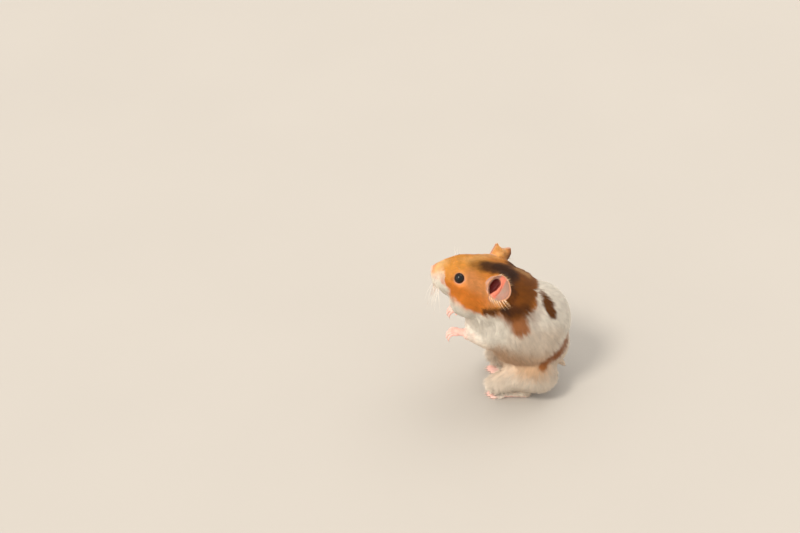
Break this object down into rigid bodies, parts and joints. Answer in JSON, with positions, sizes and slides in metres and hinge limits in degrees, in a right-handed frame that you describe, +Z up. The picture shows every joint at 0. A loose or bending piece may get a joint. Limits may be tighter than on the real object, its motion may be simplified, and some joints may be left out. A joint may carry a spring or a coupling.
{
  "type": "syrian hamster",
  "caption": "Life-size Syrian hamster reared up on its hind feet, head forward and forepaws held out, with an orange and brown hood over a white coat.",
  "frame": {"origin": "on the floor, under the middle of the box round the animal", "axes": "+X to the animal's left, -Y the way it faces, +Z up"},
  "size_m": [0.0472, 0.0751, 0.0888],
  "materials": {
    "coat": "short dense fur in white, orange and dark brown patches",
    "bare_skin": "thin pink skin of paws, feet, tail and nose, finely wrinkled",
    "ear_skin": "thin ear skin, dark red in the cup, pink and grey on the flap",
    "eye": "wet, glossy black globe"
  },
  "bodies": {
    "root": {"trunk": "coat", "neck": "coat", "head": "coat", "foreleg_left": "coat", "foreleg_right": "coat", "thigh_left": "coat", "thigh_right": "coat", "forepaw_left": "bare_skin", "forepaw_right": "bare_skin", "hindfoot_left": "bare_skin", "hindfoot_right": "bare_skin", "tail": "bare_skin", "nose": "bare_skin", "ear_left": "ear_skin", "ear_right": "ear_skin", "eye_left": "eye", "eye_right": "eye"}
  },
  "joints": []
}
